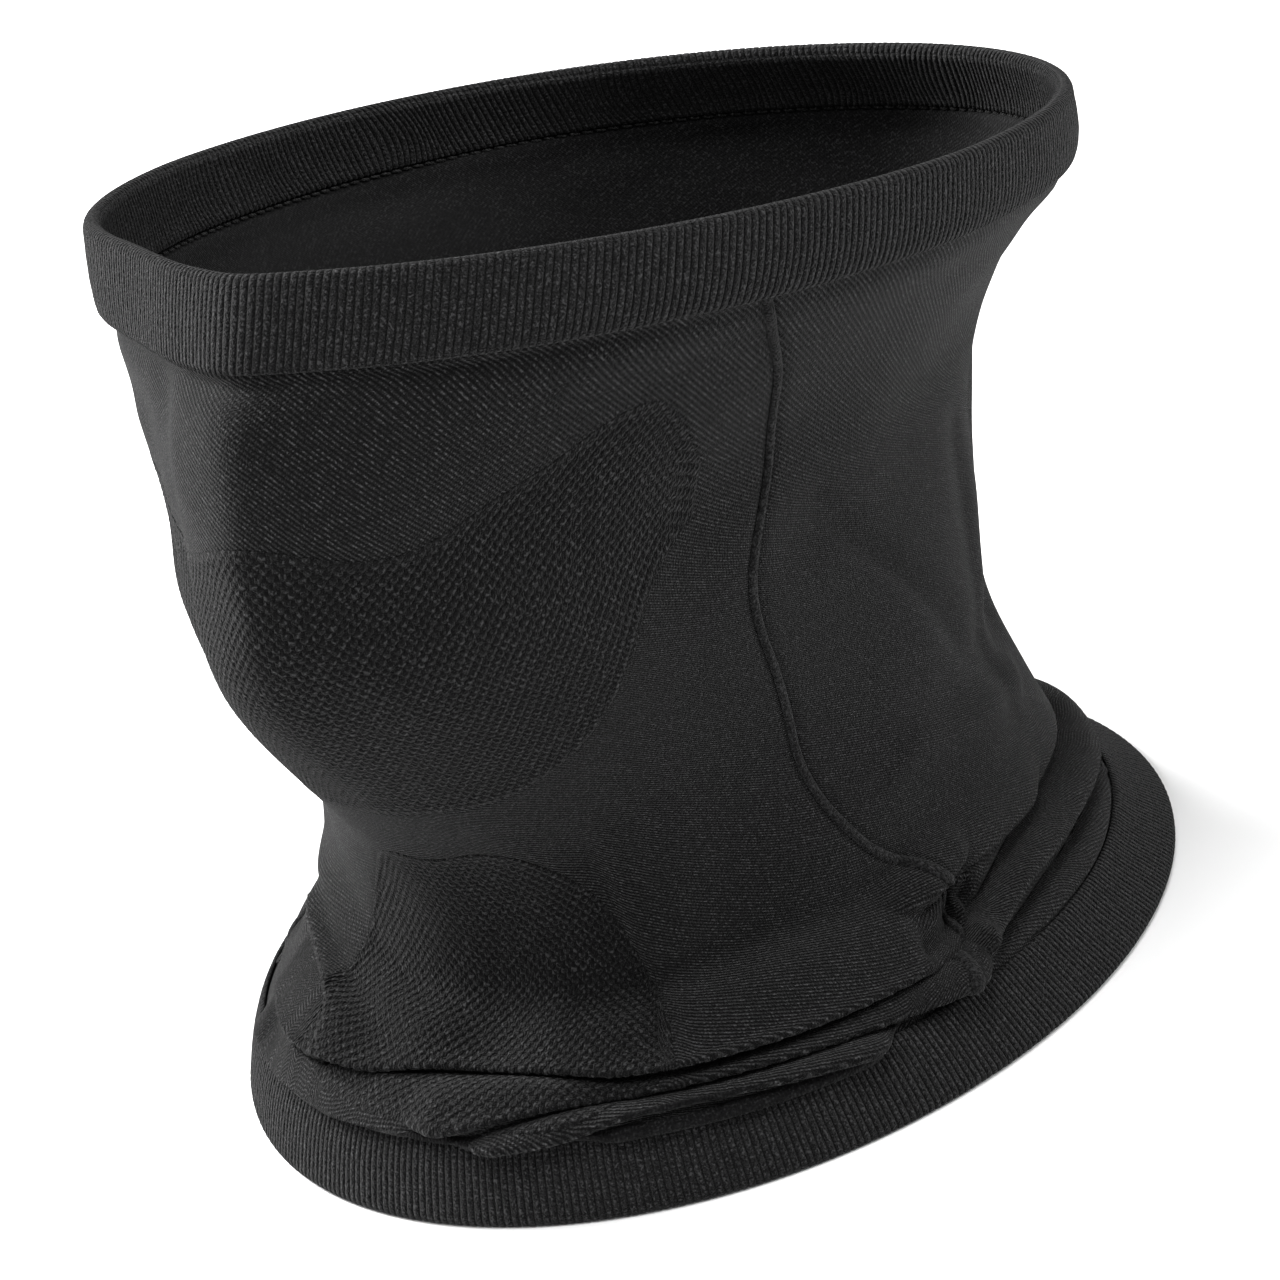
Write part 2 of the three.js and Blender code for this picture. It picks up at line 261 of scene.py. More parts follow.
@dataclass(frozen=True)
class Tube:
    """The shape of the worn gaiter.

    Each level is a loop. Its front and back points are given in the side view, and the loop
    between them is a superellipse: |cos|**n + |sin|**n = 1 in shares of its length and half width.

    Attributes:
        outline: One row a level: front y and z, back y and z, half width, nose and nape fullness.
        folds: The folds laid into the body fabric.
        ripple: Depth of the small uneven waves of the body fabric.
        cheek_dent: How far the wearer's right cheek is flattened towards the rim.
        cheek_turn: Turn at the middle of the flat part.
        cheek_width: Degrees to either side of it.
        corner: How far the rim stands out where that flat part meets the front.
        corner_turn: Turn at the middle of the corner.
        corner_width: Degrees to either side of it.
        dent_levels: Levels between which the flat part and the corner grow to their full size.
        hem: Level of the bottom edge.
        cuff_top: Level of the bottom band's upper edge.
        band_low: Level of the top band's lower edge.
        rim: Level of the top edge.
    """

    outline: tuple[tuple[float, ...], ...] = (
        (-95, 0, 96, 0, 75, 2.0, 2.0),
        (-90, 13, 80, 11, 69, 2.0, 2.0),
        (-82, 20, 69, 34, 60, 2.0, 2.0),
        (-72, 30, 64, 57, 55, 2.0, 2.0),
        (-76, 54, 70, 79, 54, 1.8, 2.0),
        (-107, 94, 86, 90, 54, 1.6, 2.0),
        (-109, 117, 95, 98, 56, 1.6, 2.1),
        (-104, 136, 101, 106, 64, 1.7, 2.1),
        (-97, 147, 104, 114, 72, 1.8, 2.1),
        (-90, 160, 99, 127, 75, 1.8, 2.1),
    )
    folds: tuple[Fold, ...] = FOLDS
    ripple: float = 0.22
    cheek_dent: float = 4.6
    cheek_turn: float = -29.0
    cheek_width: float = 20.0
    corner: float = 1.2
    corner_turn: float = -1.0
    corner_width: float = 6.0
    dent_levels: tuple[float, float] = (5.2, 8.6)

    hem: ClassVar[float] = 0.0
    cuff_top: ClassVar[float] = 1.0
    band_low: ClassVar[float] = 8.0
    rim: ClassVar[float] = 9.0

    def point(self, turn: Array, level: Array) -> Array:
        """Middle of the fabric with no folds, in millimetres."""
        turn, level = np.broadcast_arrays(np.asarray(turn, float), np.asarray(level, float))
        table = np.asarray(self.outline, float)
        rows = through(np.column_stack([np.arange(len(table)), table]), level)
        front, back, half = rows[..., 0:2], rows[..., 2:4], rows[..., 4]
        cosine, sine = np.cos(np.radians(turn)), np.sin(np.radians(turn))
        fullness = np.where(cosine > 0, rows[..., 5], rows[..., 6])
        radius = (np.abs(cosine) ** fullness + np.abs(sine) ** fullness) ** (-1 / fullness)
        dent = self.cheek_dent * np.exp(-(((wrap(turn) - self.cheek_turn) / self.cheek_width) ** 2))
        dent -= self.corner * np.exp(-(((wrap(turn) - self.corner_turn) / self.corner_width) ** 2))
        radius = radius - dent / half * smooth_step(*self.dent_levels, level)
        share = (0.5 - 0.5 * radius * cosine)[..., None]
        side_view = front + (back - front) * share
        return np.concatenate([(half * radius * sine)[..., None], side_view], axis=-1)

    def rates(self, turn: Array, level: Array) -> tuple[Array, Array]:
        """Change of the unfolded point per degree of turn, and per level."""
        step = 0.02
        around = (self.point(turn + step, level) - self.point(turn - step, level)) / (2 * step)
        up = (self.point(turn, level + step) - self.point(turn, level - step)) / (2 * step)
        return around, up

    def scales(self, turn: Array, level: Array) -> tuple[Array, Array]:
        """Millimetres per degree of turn, and per level."""
        around, up = self.rates(turn, level)
        return lengths(around), lengths(up)

    def normal(self, turn: Array, level: Array) -> Array:
        """Outward direction of the unfolded fabric."""
        around, up = self.rates(turn, level)
        cross = np.cross(around, up)
        return cross / lengths(cross)[..., None]

    def offset(self, turn: Array, level: Array, out: Array) -> Array:
        """Point that stands a distance out of the unfolded fabric."""
        out = np.asarray(out, float)
        return self.point(turn, level) + self.normal(turn, level) * out[..., None]

    def folded(self, turn: Array, level: Array) -> Array:
        """Middle of the fabric with its folds: each adds its height outwards and its drop down."""
        turn, level = np.broadcast_arrays(np.asarray(turn, float), np.asarray(level, float))
        wrapped = wrap(turn)
        around, up = self.scales(turn, level)
        out, down = np.zeros_like(wrapped), np.zeros_like(wrapped)
        for fold in self.folds:
            fold_out, fold_down = fold.shift(wrapped, level, around, up)
            out += fold_out
            down += fold_down
        angle = np.radians(turn)
        waves = np.sin(5 * angle + 2.1 * level) + np.sin(9 * angle - 3.3 * level + 1)
        waves += np.sin(14 * angle + 5.2 * level + 2) * 0.6
        free = between(
            (self.cuff_top, self.cuff_top + 0.08), (self.band_low - 0.14, self.band_low - 0.02), level
        )
        moved = self.offset(turn, level, (out + self.ripple * waves) * free)
        moved[..., 2] -= down * free
        return moved

    def even_turns(self, level: float, count: int) -> Array:
        """Turns that split a level's loop into equal lengths.

        Args:
            level: The loop.
            count: How many turns to return.

        Returns:
            Turns from 0 to under 360 degrees.
        """
        dense = np.linspace(0, 360, 2881)
        length = travelled(self.point(dense, level))
        return np.interp(np.arange(count) * length[-1] / count, length, dense)

    def girth(self, level: float) -> float:
        """Length of a level's loop."""
        return float(travelled(self.point(np.linspace(0, 360, 1441), level))[-1])


TUBE = Tube()


# ---------------------------------------------------------------- meshes


def make_object(
    name: str,
    points: Array,
    quads: Array,
    uv: Array,
    finishes: list[bpy.types.Material],
    slots: Array | None = None,
) -> bpy.types.Object:
    """Makes one smooth mesh object at the origin.

    Args:
        name: Object name.
        points: Vertices in millimetres.
        quads: Vertex numbers of each face.
        uv: Weave coordinates of each face corner.
        finishes: Materials.
        slots: Material number of each face, or None for the first.

    Returns:
        The linked object.
    """
    mesh = bpy.data.meshes.new(name)
    mesh.vertices.add(len(points))
    mesh.vertices.foreach_set("co", (points * MM).astype(np.float32).ravel())
    mesh.loops.add(quads.size)
    mesh.loops.foreach_set("vertex_index", quads.astype(np.int32).ravel())
    mesh.polygons.add(len(quads))
    corners = quads.shape[1]
    mesh.polygons.foreach_set("loop_start", np.arange(0, quads.size, corners, dtype=np.int32))
    mesh.polygons.foreach_set("use_smooth", np.ones(len(quads), bool))
    if slots is not None:
        mesh.polygons.foreach_set("material_index", slots.astype(np.int32))
    layer = mesh.uv_layers.new(name="weave")
    layer.data.foreach_set("uv", uv.astype(np.float32).ravel())
    for finish in finishes:
        mesh.materials.append(finish)
    mesh.update(calc_edges=True)
    mesh.validate()
    piece = bpy.data.objects.new(name, mesh)
    bpy.context.scene.collection.objects.link(piece)
    return piece


def grid_faces(rows: int, columns: int) -> Array:
    """Corner numbers of an open grid's faces, as (row, column) pairs, shaped (faces, 4, 2)."""
    row, column = np.meshgrid(np.arange(rows - 1), np.arange(columns - 1), indexing="ij")
    row, column = row.ravel(), column.ravel()
    corners = ((row, column), (row, column + 1), (row + 1, column + 1), (row + 1, column))
    return np.stack([np.stack(corner, axis=-1) for corner in corners], axis=1)


def grid_normals(middle: Array) -> Array:
    """Outward direction at each point of a grid whose rows climb and columns go round."""
    cross = np.cross(np.gradient(middle, axis=1), np.gradient(middle, axis=0))
    return cross / lengths(cross)[..., None]


@dataclass
class Sheet:
    """A sheet of fabric on a grid, with an outer face, an inner face and walls round its edges.

    Attributes:
        middle: Grid of points along the middle of the fabric.
        outer: Distance of the outer face from the middle.
        inner: Distance of the inner face, negative.
        weave: Weave coordinates of each grid point.
        keep: Which grid faces the sheet has; None for all.
    """

    middle: Array
    outer: Array | float
    inner: Array | float
    weave: Array
    keep: Array | None = None

    def build(self, name: str, face: bpy.types.Material, lining: bpy.types.Material) -> bpy.types.Object:
        """Makes the object: the face material outside and on the walls, the lining inside.

        An edge whose reverse belongs to no other face lies on the sheet's border, and gets a wall.

        Args:
            name: Piece name.
            face: Material of the outer face and the walls.
            lining: Material of the inner face.

        Returns:
            The linked object.
        """
        rows, columns, _ = self.middle.shape
        normals = grid_normals(self.middle)
        outside, inside = (
            (self.middle + normals * np.broadcast_to(distance, (rows, columns))[..., None]).reshape(-1, 3)
            for distance in (self.outer, self.inner)
        )
        corners = grid_faces(rows, columns)
        if self.keep is not None:
            corners = corners[self.keep.ravel()]
        front = corners[..., 0] * columns + corners[..., 1]
        layer = rows * columns
        edges = np.concatenate([front[:, [k, (k + 1) % 4]] for k in range(4)])
        code = edges[:, 0] * layer + edges[:, 1]
        start, end = edges[~np.isin(code, edges[:, 1] * layer + edges[:, 0])].T
        walls = np.column_stack([start, start + layer, end + layer, end])
        quads = np.concatenate([front, front[:, ::-1] + layer, walls])
        points = np.concatenate([outside, inside])
        used, renumbered = np.unique(quads, return_inverse=True)
        uv = np.concatenate([self.weave.reshape(-1, 2)] * 2)[quads]
        slots = np.zeros(len(quads), int)
        slots[len(front) : 2 * len(front)] = 1
        return make_object(name, points[used], renumbered.reshape(quads.shape), uv, [face, lining], slots)


def make_loop(name: str, points: Array, weave: Array, finish: bpy.types.Material) -> bpy.types.Object:
    """Closed loop round the tube from a grid whose rows go round its section and columns the tube.

    Args:
        name: Object name.
        points: Grid of vertices; both directions close on themselves.
        weave: Weave coordinates, with one more row and column than points.
        finish: Material.

    Returns:
        The linked object.
    """
    rows, columns, _ = points.shape
    corners = grid_faces(rows + 1, columns + 1)
    quads = (corners[..., 0] % rows) * columns + corners[..., 1] % columns
    uv = weave[corners[..., 0], corners[..., 1]]
    return make_object(name, points.reshape(-1, 3), quads, uv, [finish])


# ---------------------------------------------------------------- shader maths


class Shader:
    """Builds one material's nodes: every node but plain arithmetic comes from the node method."""

    def __init__(self, name: str, roughness: float, sheen: float = 0.0, sheen_roughness: float = 0.5) -> None:
        """Starts a material with its constant values set on the main shader's own sockets."""
        self.material = bpy.data.materials.new(name)
        self.material.use_nodes = True
        self.tree = self.material.node_tree
        self.main = self.tree.nodes["Principled BSDF"]
        self.main.inputs["Roughness"].default_value = roughness
        self.main.inputs["Sheen Weight"].default_value = sheen
        self.main.inputs["Sheen Roughness"].default_value = sheen_roughness
        self.main.inputs["Specular IOR Level"].default_value = 0.1

    def node(self, kind: str, settings: dict | None = None, **inputs: object) -> bpy.types.Node:
        """Adds a node.

        Args:
            kind: Node type.
            settings: Properties to set first.
            **inputs: Values or wires for its sockets, named i0, i1... by number or by socket name.

        Returns:
            The node.
        """
        made = self.tree.nodes.new(kind)
        for key, value in (settings or {}).items():
            setattr(made, key, value)
        for key, value in inputs.items():
            socket = made.inputs[int(key[1:])] if key[0] == "i" and key[1:].isdigit() else made.inputs[key]
            if isinstance(value, Wire):
                self.tree.links.new(value.socket, socket)
            else:
                socket.default_value = value
        return made

    def weave(self) -> tuple[Wire, Wire]:
        """The two weave coordinates of the piece's own UV map."""
        source = self.node("ShaderNodeUVMap", {"uv_map": "weave"})
        parts = self.node("ShaderNodeSeparateXYZ", i0=Wire(self, source.outputs[0]))
        return Wire(self, parts.outputs[0]), Wire(self, parts.outputs[1])

    def noise(self, scale: float, detail: float = 2.0, roughness: float = 0.5) -> Wire:
        """Noise on object coordinates; scale is in features per metre."""
        place = self.node("ShaderNodeTexCoord").outputs["Object"]
        values = {"Scale": scale, "Detail": detail, "Roughness": roughness}
        made = self.node("ShaderNodeTexNoise", Vector=Wire(self, place), **values)
        return Wire(self, made.outputs[0])

    def colour(self, factor: Wire, low: Wire | Triple, high: Triple) -> Wire:
        """Mix of two colours, low where factor is 0 and high where it is 1."""
        start = low if isinstance(low, Wire) else (*low, 1.0)
        made = self.node("ShaderNodeMix", {"data_type": "RGBA"}, i0=factor, i6=start, i7=(*high, 1.0))
        return Wire(self, made.outputs[2])

    def finish(self, colour: Wire, height: Wire | None = None, distance: float = 0.0) -> bpy.types.Material:
        """Feeds the colour, and the height in shares of a distance in metres, to the shader."""
        self.tree.links.new(colour.socket, self.main.inputs["Base Color"])
        if height is not None:
            bump = self.node("ShaderNodeBump", Height=height, Distance=distance, Strength=1.0)
            self.tree.links.new(bump.outputs[0], self.main.inputs["Normal"])
        return self.material


class Wire:
    """An output socket that takes part in arithmetic; each operation adds its Math node."""

    def __init__(self, shader: Shader, socket: bpy.types.NodeSocket) -> None:
        """Wraps a socket of a shader."""
        self.shader, self.socket = shader, socket

    def math(self, operation: str, *values: Wire | float, clamp: bool = False) -> Wire:
        """Math node of an operation on some values, in order."""
        inputs = {f"i{index}": value for index, value in enumerate(values)}
        made = self.shader.node("ShaderNodeMath", {"operation": operation, "use_clamp": clamp}, **inputs)
        return Wire(self.shader, made.outputs[0])

    def __add__(self, other: Wire | float) -> Wire:
        """Sum."""
        return self.math("ADD", self, other)

    __radd__ = __add__

    def __sub__(self, other: Wire | float) -> Wire:
        """Difference."""
        return self.math("SUBTRACT", self, other)

    def __rsub__(self, other: float) -> Wire:
        """Difference from a number."""
        return self.math("SUBTRACT", other, self)

    def __mul__(self, other: Wire | float) -> Wire:
        """Product."""
        return self.math("MULTIPLY", self, other)

    __rmul__ = __mul__

    def __pow__(self, power: float) -> Wire:
        """Power."""
        return self.math("POWER", self, power)

    def signed_wave(self) -> Wire:
        """Cosine of a number of cycles, from -1 to 1."""
        return self.math("COSINE", self * math.tau)

    def wave(self) -> Wire:
        """Cosine of a number of cycles, from 0 at the half cycle to 1 at the whole one."""
        return self.signed_wave() * 0.5 + 0.5

    def clamp(self) -> Wire:
        """Kept from 0 to 1."""
        return self.math("ADD", self, 0.0, clamp=True)

    def step(self, low: float, high: float) -> Wire:
        """Smooth step from 0 at low to 1 at high."""
        ends = {"i1": low, "i2": high, "i3": 0.0, "i4": 1.0}
        made = self.shader.node("ShaderNodeMapRange", {"interpolation_type": "SMOOTHSTEP"}, i0=self, **ends)
        return Wire(self.shader, made.outputs[0])


# ---------------------------------------------------------------- finishes


@dataclass(frozen=True)
class Yarn:
    """Colours of a knit, from the painted shade between its stitches to the bright of a lit fibre."""

    shade: Triple
    body: Triple
    bright: Triple

    def mix(self, shader: Shader, height: Wire, fleck: Wire) -> Wire:
        """Painted shade colour in the gaps at height 0, body colour at height 1, and bright where a fleck is
        1.
        """
        return shader.colour(fleck, shader.colour(height, self.shade, self.body), self.bright)


# The first colour of each yarn is painted shade for the gaps between its stitches; the second is the yarn's
# own body colour.
CHARCOAL = Yarn((0.0006, 0.0006, 0.0007), (0.026, 0.026, 0.0266), (0.115, 0.115, 0.118))
RIB_YARN = Yarn((0.0005, 0.0005, 0.0006), (0.0142, 0.0142, 0.0146), (0.068, 0.068, 0.07))
# Vent colours: the yarn's own colour, darkened further to paint the shade seen through the open knit's holes.
VENT_YARN_AND_HOLE_SHADE = Yarn((0.0004, 0.0004, 0.0005), (0.0095, 0.0095, 0.0098), (0.066, 0.066, 0.068))
SEAM_YARN = Yarn((0.0006, 0.0006, 0.0007), (0.012, 0.012, 0.0123), (0.042, 0.042, 0.043))
LINING_YARN = Yarn((0.0004, 0.0004, 0.0005), (0.0055, 0.0055, 0.0057), (0.024, 0.024, 0.0246))
THREAD_YARN = Yarn((0.004, 0.004, 0.004), (0.022, 0.022, 0.022), (0.06, 0.06, 0.06))
ELASTIC_YARN = Yarn((0.003, 0.003, 0.003), (0.008, 0.008, 0.008), (0.02, 0.02, 0.02))


@dataclass(frozen=True)
class KnitFinish:
    """A knit finish with plain upright stitches; the other finishes put in their own stitches.

    Attributes:
        name: Material name.
        yarn: Its colours.
        roughness: Roughness.
        sheen: Weight of the soft edge light of loose fibres.
        fleck_scale: Flecks per metre.
        bump: Depth of the stitch relief, in metres.
    """

    name: str
    yarn: Yarn = CHARCOAL
    roughness: float = 0.88
    sheen: float = 0.05
    fleck_scale: float = 2500.0
    bump: float = 0.00036

    def stitch_height(self, shader: Shader) -> Wire:
        """Height of the knit over the surface, from 0 to 1."""
        u, v = shader.weave()
        return u.wave() * 0.4 + v.wave() * 0.4 + 0.2

    def make(self) -> bpy.types.Material:
        """Builds the material: stitches with painted shade in the gaps between them, uneven dye and flecks of
        lit fibre.
        """
        shader = Shader(self.name, self.roughness, self.sheen)
        height = self.stitch_height(shader)
        uneven = shader.noise(55.0, 3.0) * 0.5 + 0.72
        fibre = shader.noise(self.fleck_scale, 1.0, 0.6).step(0.38, 0.64)
        glint = shader.noise(self.fleck_scale * 0.83, 0.0).step(0.56, 0.72)
        # Painted shade: the colour goes towards the near-black shade colour where the stitch height is low,
        # in the gaps between stitches, ribs and loops; uneven dye and darker fibres darken it too.
        shade = (height * uneven * (fibre + 0.22)).clamp()
        colour = self.yarn.mix(shader, shade, glint * height.step(0.2, 0.7) * 0.5)
        return shader.finish(colour, height + fibre * 0.5, self.bump)


@dataclass(frozen=True)
class TwillFinish(KnitFinish):
    """Slanting lines of stitches: u counts lines and v counts the stitches along a line."""

    def stitch_height(self, shader: Shader) -> Wire:
        """Round lines with a bead for each stitch, bent a little by noise."""
        u, v = shader.weave()
        line = (u + shader.noise(900.0) * 0.22).wave() ** 1.7
        bead = (v + shader.noise(1300.0) * 0.5).wave()
        return line * (bead * 0.45 + 0.55)


@dataclass(frozen=True)
class RibFinish(KnitFinish):
    """Upright ribs: u counts ribs, with the groove at whole numbers, and v counts stitches."""

    def stitch_height(self, shader: Shader) -> Wire:
        """Rounded ribs, each a column of stitches."""
        u, v = shader.weave()
        rib = (1 - u.wave()) ** 0.45
        stitch = (v + shader.noise(1500.0) * 0.7).wave()
        return rib * (stitch * 0.3 + 0.7)


@dataclass(frozen=True)
class VentFinish(KnitFinish):
    """Open knit: u and v count half loops, and a dash lies where both are near even or near odd."""

    def stitch_height(self, shader: Shader) -> Wire:
        """Short bowed dashes in rows, each row half a dash along from the next; the low places between them
        are the holes, which get painted shade.
        """
        u, v = shader.weave()
        bowed = v + u.signed_wave() * 0.12 + shader.noise(900.0) * 0.2
        across, along = (bowed * 0.5).signed_wave(), (u * 0.5).signed_wave()
        even = along.step(-0.65, -0.05) * (across * 0.5 + 0.5) ** 3.0
        odd = (0 - along).step(-0.65, -0.05) * (0.5 - across * 0.5) ** 3.0
        return even.math("MAXIMUM", even, odd) * 0.88 + 0.12


@dataclass(frozen=True)
class CordFinish(KnitFinish):
    """Twisted thread, covered elastic or seam: v counts the turns of the twist.

    Attributes:
        relief: Share of the height that the twist takes.
    """

    relief: float = 0.6

    def stitch_height(self, shader: Shader) -> Wire:
        """Slanting turns of the twist."""
        u, v = shader.weave()
        return (v + u).wave() * self.relief + (1 - self.relief)


class Finishes:
    """Every finish of the gaiter, made once."""

    def __init__(self) -> None:
        """Builds the materials."""
        self.rib = RibFinish("rib_knit", RIB_YARN, fleck_scale=3100.0).make()
        self.twill = TwillFinish("body_knit").make()
        self.vent = VentFinish("vent_knit", VENT_YARN_AND_HOLE_SHADE).make()
        self.lining = KnitFinish("lining_knit", LINING_YARN, bump=0.00012, sheen=0.03).make()
        self.seam = CordFinish("seam_knit", SEAM_YARN, relief=0.25).make()
        self.thread = CordFinish("stitch_thread", THREAD_YARN).make()
        self.elastic = CordFinish("covered_elastic", ELASTIC_YARN, roughness=0.6).make()


# ---------------------------------------------------------------- bands


@dataclass
class Band:
    """A ribbed band: one length of rib folded over, with an outer and an inner ply.

    Attributes:
        name: Piece name.
        low: Level of its lower edge.
        high: Level of its upper edge.
        fold_at_top: True at the rim, False at the hem.
        rib_pitch: Distance between ribs at the folded edge.
        rib_depth: Depth of the grooves between ribs.
        steps: Grid columns a rib.
        face: Distance of the outer ply's face from the middle of the body fabric.
        pocket: Half of the free space between the plies.
        stitch_pitch: Height of one stitch.
        height: Height of the band, for the count of its stitches.
        lift: Height under which the hem's fold is pressed flat by the floor.
    """

    name: str
    low: float
    high: float
    fold_at_top: bool
    rib_pitch: float = 1.26
    rib_depth: float = 0.24
    steps: int = 5
    face: float = 1.62
    pocket: float = 0.72
    stitch_pitch: float = 0.95
    height: float = 14.0
    lift: float = 0.25

    def section(self) -> Array:
        """Closed section of the band from the outer ply's free edge round the fold and back.

        Returns:
            Rows of share of the height from the free edge to the fold, distance out of the body
            fabric, and weight of the ribs.
        """
        fold_start, bulge, end_gap = 0.885, 0.26, 0.35
        rise = np.linspace(0.02, fold_start, 12)
        plain, ribbed = np.zeros(5), np.ones_like(rise)
        outer = np.column_stack([rise, self.face - 0.18 + bulge * np.sin(np.pi * rise) ** 0.7, ribbed])
        turn = np.radians(np.linspace(12, 168, 9))
        top = fold_start + (1 - fold_start) * np.sin(turn)
        fold = np.column_stack([top, (self.face - 0.1) * np.cos(turn), np.ones_like(turn)])
        inner = np.column_stack([rise[::-1] + 0.03, 0.12 - self.face * ribbed, ribbed])
        # The pocket between the plies, narrow at the fold, and the outer ply's free edge.
        share = np.array([0.02, 0.06, 0.45, 0.86, 0.91])
        back = np.column_stack([share, plain - self.pocket, plain])
        front = np.column_stack([share[::-1], plain + self.pocket, plain])
        back[-1, 1], front[0, 1] = -end_gap, end_gap
        front[-1, 0] = -0.01
        edge = np.array([[-0.035, 1.05, 0.4]])
        return np.concatenate([outer, fold, inner, back, front, edge])

    def build(self, finishes: Finishes) -> bpy.types.Object:
        """Makes the band, its ribs bent sideways a little by uneven tension on the inner ply."""
        free, fold = (self.low, self.high) if self.fold_at_top else (self.high, self.low)
        columns = round(TUBE.girth(fold) / self.rib_pitch) * self.steps
        turns = TUBE.even_turns(fold, columns)
        share, out, ribbed = (column[:, None] for column in self.section().T)
        angle = np.radians(turns)
        inside = smooth_step(0.3, -0.6, out / self.face)
        sway = np.sin(7 * angle + 0.6) + 0.8 * np.sin(17 * angle + 2) + 0.5 * np.sin(31 * angle)
        turn_grid = turns + sway * np.sin(np.pi * np.clip(share, 0, 1)) * (0.06 + 0.5 * inside)
        level_grid = np.broadcast_to(free + (fold - free) * share, turn_grid.shape)
        rib = np.arange(columns) / self.steps
        groove = 1 - np.minimum(1.0, 1.7 * np.abs(np.sin(np.pi * rib)))
        stitches = np.cos(math.tau * share * self.height / self.stitch_pitch + np.pi * (rib // 1)) * 0.03
        relief = (stitches - self.rib_depth * (1 + 0.35 * inside) * groove) * ribbed
        points = TUBE.offset(turn_grid, level_grid, out + np.sign(out) * relief)
        length = travelled(np.concatenate([share * self.height, out], axis=1))
        weave_u = np.arange(columns + 1) / self.steps
        weave_v = np.append(length, length[-1] + 1) / self.stitch_pitch
        weave = np.stack(np.meshgrid(weave_u, weave_v), axis=-1)
        if not self.fold_at_top:
            points[..., 2] += np.maximum(0, self.lift - points[..., 2]) * 0.9
            points[..., 2] = np.maximum(points[..., 2], 0.0)
            points, weave = points[::-1], weave[::-1]
        return make_loop(self.name, points, weave, finishes.rib)


@dataclass
class Elastic:
    """Flat covered elastic laid in a band's fold, with raised cords along its length.

    Attributes:
        name: Piece name.
        free: Level of the band's free edge.
        fold: Level of the band's fold.
        cords: How many cords the tape has across.
        cord_rows: Grid rows a cord.
        columns: Grid columns round the tube.
        start: Share of the way from the free edge to the fold where the tape starts.
        width: Share of that way that the tape takes.
    """

    name: str
    free: float
    fold: float
    cords: int = 6
    cord_rows: int = 6
    columns: int = 360
    start: float = 0.4
    width: float = 0.42

    def build(self, finishes: Finishes) -> bpy.types.Object:
        """Makes the tape as a closed loop with a wavy section."""
        across = np.linspace(0, 1, self.cord_rows * self.cords)
        wavy = 0.3 + 0.1 * np.abs(np.sin(np.pi * self.cords * across))
        share = self.start + self.width * np.concatenate([across, across[::-1]])
        out = np.concatenate([wavy, -wavy[::-1]])
        turns = TUBE.even_turns(self.fold, self.columns)
        level = self.free + (self.fold - self.free) * share
        points = TUBE.offset(*np.broadcast_arrays(turns, level[:, None], out[:, None]))
        twists, cords = np.arange(self.columns + 1) * 1.5, np.arange(len(share) + 1) / self.cord_rows
        weave = np.stack(np.meshgrid(twists, cords), axis=-1)
        if self.fold < self.free:
            points, weave = points[::-1], weave[::-1]
        return make_loop(self.name, points, weave, finishes.elastic)


@dataclass
class ChainStitch:
    """The row of stitches that closes a band's inner ply on to the body fabric.

    Attributes:
        name: Piece name.
        level: Level of the row.
        out: Distance of the stitches from the middle of the body fabric.
        pitch: Distance between stitches.
        length: Length of one stitch.
        thickness: Thickness of the thread.
        slant: Rise of a stitch for its length.
        bow: How far the middle of a stitch sinks into the cloth.
    """

    name: str
    level: float
    out: float = -0.86
    pitch: float = 2.5
    length: float = 2.1
    thickness: float = 0.62
    slant: float = 0.1
    bow: float = 0.12

    def build(self, finishes: Finishes) -> bpy.types.Object:
        """Makes the stitches: each is a capsule, slanted a little and bowed into the cloth."""
        count = round(TUBE.girth(self.level) / self.pitch)
        turns = TUBE.even_turns(self.level, count)
        centre = TUBE.offset(turns, self.level, self.out)
        along, climb = (rate / lengths(rate)[..., None] for rate in TUBE.rates(turns, self.level))
        normal = np.cross(along, climb)
        ring_steps, sides = 7, 8
        share = np.linspace(0, np.pi, ring_steps)
        angle = np.arange(sides) * math.tau / sides
        run = -np.cos(share)[:, None] * self.length / 2 * np.ones(sides)
        radius = (np.sin(share) ** 0.6 * self.thickness / 2 + 0.004)[:, None]
        rise = radius * np.sin(angle) + self.slant * run
        away = radius * np.cos(angle) + self.bow * np.sin(share)[:, None]
        shape = (
            centre[:, None, None]
            + along[:, None, None] * run[None, ..., None]
            + climb[:, None, None] * rise[None, ..., None]
            - normal[:, None, None] * away[None, ..., None]
        )
        corners = grid_faces(ring_steps, sides + 1)
        face = corners[..., 0] * sides + corners[..., 1] % sides
        # Three faces close an eight-sided end; the first end's are turned to face outwards.
        caps = np.array([[0, 1, 2, 3], [0, 3, 4, 7], [4, 5, 6, 7]])
        top = caps + (ring_steps - 1) * sides
        one = np.concatenate([face, caps[:, ::-1], top])
        quads = (one[None] + np.arange(count)[:, None, None] * ring_steps * sides).reshape(-1, 4)
        weave_one = np.stack(np.meshgrid(np.arange(sides) / sides, np.arange(ring_steps) * 0.8), axis=-1)
        weave = np.tile(weave_one.reshape(-1, 2), (count, 1))[quads]
        return make_object(self.name, shape.reshape(-1, 3), quads, weave, [finishes.thread])


# ---------------------------------------------------------------- body of the tube


